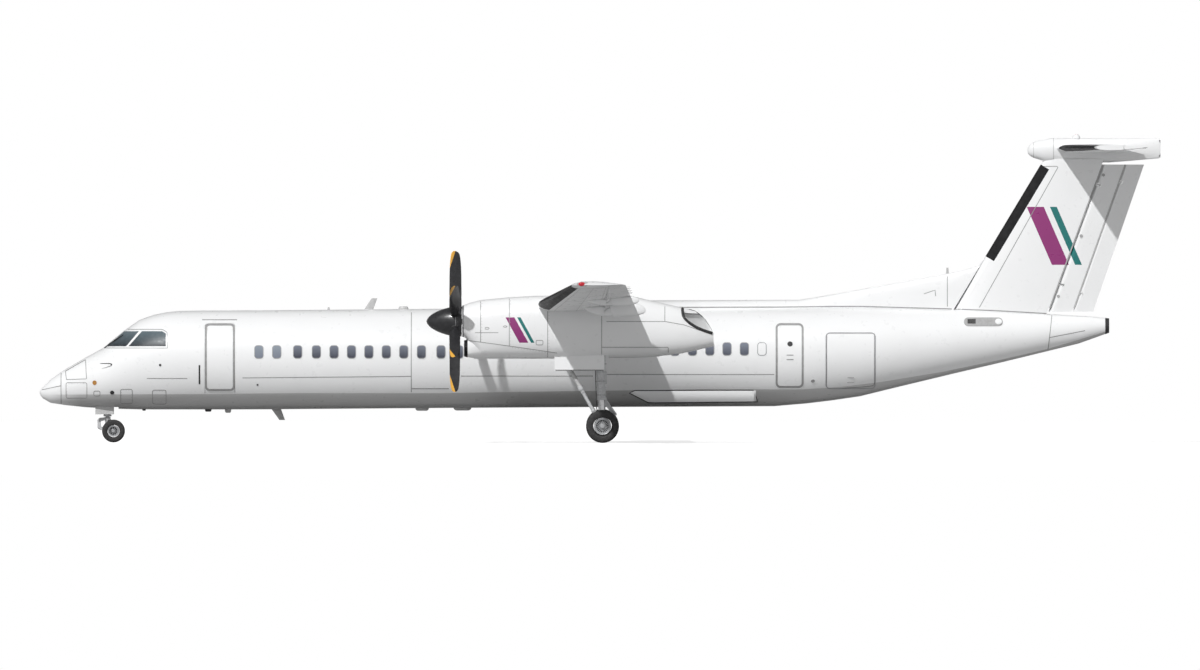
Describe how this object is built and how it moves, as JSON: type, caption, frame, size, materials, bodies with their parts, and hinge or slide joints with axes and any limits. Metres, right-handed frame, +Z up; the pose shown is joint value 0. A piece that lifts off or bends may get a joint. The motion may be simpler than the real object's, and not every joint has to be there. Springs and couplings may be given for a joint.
{
  "type": "turboprop airliner",
  "caption": "High-wing turboprop airliner with a T-tail, wing-mounted propellers and tall main gear under its nacelles, parked on its landing gear.",
  "frame": {"origin": "on the ground, at the middle of the overall box in plan", "axes": "+X from nose to tail, +Y to the right side seen from behind looking forward, +Z up"},
  "size_m": [32.833, 28.42, 9.026],
  "materials": {
    "white_paint": "white gloss paint with a gray belly",
    "dark_composite": "near-black composite blades and spinner, orange-yellow tips",
    "window_glass": "dark blue-gray glazing, drawn opaque",
    "bare_metal": "heat-stained bare metal",
    "gear_paint": "light gray paint on the landing gear",
    "dark_metal": "plain engine block",
    "tyre_rubber": "dark rubber"
  },
  "bodies": {
    "airframe": {"aft_door": "white_paint", "cockpit_window_left": "window_glass", "cockpit_window_right": "window_glass", "cowl_left": "white_paint", "cowl_right": "white_paint", "dorsal_fin": "white_paint", "drag_brace_left": "gear_paint", "drag_brace_right": "gear_paint", "engine_left": "dark_metal", "engine_right": "dark_metal", "fin": "white_paint", "fuselage": "white_paint", "jet_pipe_left": "bare_metal", "jet_pipe_right": "bare_metal", "main_door_inner_left": "white_paint", "main_door_inner_right": "white_paint", "main_door_outer_left": "white_paint", "main_door_outer_right": "white_paint", "main_leg_left": "gear_paint", "main_leg_right": "gear_paint", "nacelle_left": "white_paint", "nacelle_right": "white_paint", "nose_door_left": "white_paint", "nose_door_right": "white_paint", "nose_leg": "gear_paint", "radome": "white_paint", "tail_bullet": "white_paint", "tail_cone": "white_paint", "tailplane": "white_paint", "windshield_left": "window_glass", "windshield_right": "window_glass", "wing_centre": "white_paint", "wing_fairing": "white_paint", "wing_left": "white_paint", "wing_right": "white_paint"},
    "propeller_left": {"propeller_left": "dark_composite"},
    "propeller_right": {"propeller_right": "dark_composite"},
    "nose_fork": {"nose_fork": "gear_paint"},
    "nose_wheel_pair": {"nose_wheels": "gear_paint", "nose_tyre_a": "tyre_rubber", "nose_tyre_b": "tyre_rubber"},
    "main_wheel_pair_left": {"main_wheels_left": "gear_paint", "main_left_tyre_a": "tyre_rubber", "main_left_tyre_b": "tyre_rubber"},
    "main_wheel_pair_right": {"main_wheels_right": "gear_paint", "main_right_tyre_a": "tyre_rubber", "main_right_tyre_b": "tyre_rubber"},
    "passenger_door": {"passenger_door": "white_paint"},
    "baggage_door": {"baggage_door": "white_paint"},
    "rudder": {"rudder": "white_paint"},
    "rudder_trailing": {"rudder_trailing": "white_paint"},
    "elevator_left": {"elevator_left": "white_paint"},
    "elevator_right": {"elevator_right": "white_paint"},
    "aileron_left": {"aileron_left": "white_paint"},
    "aileron_right": {"aileron_right": "white_paint"},
    "flap_inner_left": {"flap_inner_left": "white_paint"},
    "flap_inner_right": {"flap_inner_right": "white_paint"},
    "flap_outer_left": {"flap_outer_left": "white_paint"},
    "flap_outer_right": {"flap_outer_right": "white_paint"}
  },
  "joints": [
    {"name": "propeller_left_spin", "type": "hinge", "parent": "airframe", "child": "propeller_left", "pos_m": [-4.232, -4.4, 3.542], "axis": [1, 0, 0], "continuous": true},
    {"name": "propeller_right_spin", "type": "hinge", "parent": "airframe", "child": "propeller_right", "pos_m": [-4.232, 4.4, 3.542], "axis": [1, 0, 0], "continuous": true},
    {"name": "nose_steering", "type": "hinge", "parent": "airframe", "child": "nose_fork", "pos_m": [-14.425, 0, 0.75], "axis": [0, 0, 1], "range_deg": [-70, 70]},
    {"name": "nose_wheels_roll", "type": "hinge", "parent": "nose_fork", "child": "nose_wheel_pair", "pos_m": [-14.25, 0, 0.334], "axis": [0, 1, 0], "continuous": true},
    {"name": "main_wheels_left_roll", "type": "hinge", "parent": "airframe", "child": "main_wheel_pair_left", "pos_m": [0.075, -4.4, 0.483], "axis": [0, 1, 0], "continuous": true},
    {"name": "main_wheels_right_roll", "type": "hinge", "parent": "airframe", "child": "main_wheel_pair_right", "pos_m": [0.075, 4.4, 0.483], "axis": [0, 1, 0], "continuous": true},
    {"name": "passenger_door_hinge", "type": "hinge", "parent": "airframe", "child": "passenger_door", "pos_m": [-11.564, -1.01749, 1.54889], "axis": [0.9999, -0.0137, -0.0002], "range_deg": [0, 128]},
    {"name": "baggage_door_hinge", "type": "hinge", "parent": "airframe", "child": "baggage_door", "pos_m": [6.631, -1.15521, 3.11906], "axis": [-0.9978, -0.067, -0.0006], "range_deg": [0, 95]},
    {"name": "rudder_hinge", "type": "hinge", "parent": "airframe", "child": "rudder", "pos_m": [13.28206, 0, 3.83], "axis": [0.3429, 0, 0.9394], "range_deg": [-18, 18]},
    {"name": "rudder_trailing_hinge", "type": "hinge", "parent": "rudder", "child": "rudder_trailing", "pos_m": [13.92598, 0, 3.83], "axis": [0.3346, 0, 0.9424], "range_deg": [-18, 18]},
    {"name": "elevator_left_hinge", "type": "hinge", "parent": "airframe", "child": "elevator_left", "pos_m": [15.32906, -4.623, 8.61], "axis": [-0.0781, 0.9969, 0], "range_deg": [-25, 20]},
    {"name": "elevator_right_hinge", "type": "hinge", "parent": "airframe", "child": "elevator_right", "pos_m": [14.98852, 0.275, 8.61], "axis": [0.0781, 0.9969, 0], "range_deg": [-25, 20]},
    {"name": "aileron_left_hinge", "type": "hinge", "parent": "airframe", "child": "aileron_left", "pos_m": [0.30615, -13.365, 4.56389], "axis": [-0.0117, 0.9981, -0.06], "range_deg": [-20, 20]},
    {"name": "aileron_right_hinge", "type": "hinge", "parent": "airframe", "child": "aileron_right", "pos_m": [0.26669, 9.995, 4.3613], "axis": [-0.0117, -0.9981, -0.06], "range_deg": [-20, 20]},
    {"name": "flap_inner_left_hinge", "type": "hinge", "parent": "airframe", "child": "flap_inner_left", "pos_m": [0.2088, -3.685, 4.06579], "axis": [0, 1, 0], "range_deg": [0, 35]},
    {"name": "flap_inner_right_hinge", "type": "hinge", "parent": "airframe", "child": "flap_inner_right", "pos_m": [0.2088, 1.055, 4.06579], "axis": [0, 1, 0], "range_deg": [0, 35]},
    {"name": "flap_outer_left_hinge", "type": "hinge", "parent": "airframe", "child": "flap_outer_left", "pos_m": [0.26517, -9.865, 4.35351], "axis": [-0.0117, 0.9982, -0.0596], "range_deg": [0, 35]},
    {"name": "flap_outer_right_hinge", "type": "hinge", "parent": "airframe", "child": "flap_outer_right", "pos_m": [0.20991, 5.145, 4.07145], "axis": [0.0117, 0.9982, 0.0596], "range_deg": [0, 35]}
  ],
  "couplings": [
    {"joint": "rudder_trailing_hinge", "follows": "rudder_hinge", "ratio": 1},
    {"joint": "elevator_right_hinge", "follows": "elevator_left_hinge", "ratio": 1},
    {"joint": "aileron_right_hinge", "follows": "aileron_left_hinge", "ratio": 1},
    {"joint": "flap_inner_left_hinge", "follows": "flap_outer_left_hinge", "ratio": 1},
    {"joint": "flap_inner_right_hinge", "follows": "flap_outer_left_hinge", "ratio": 1},
    {"joint": "flap_outer_right_hinge", "follows": "flap_outer_left_hinge", "ratio": 1}
  ]
}
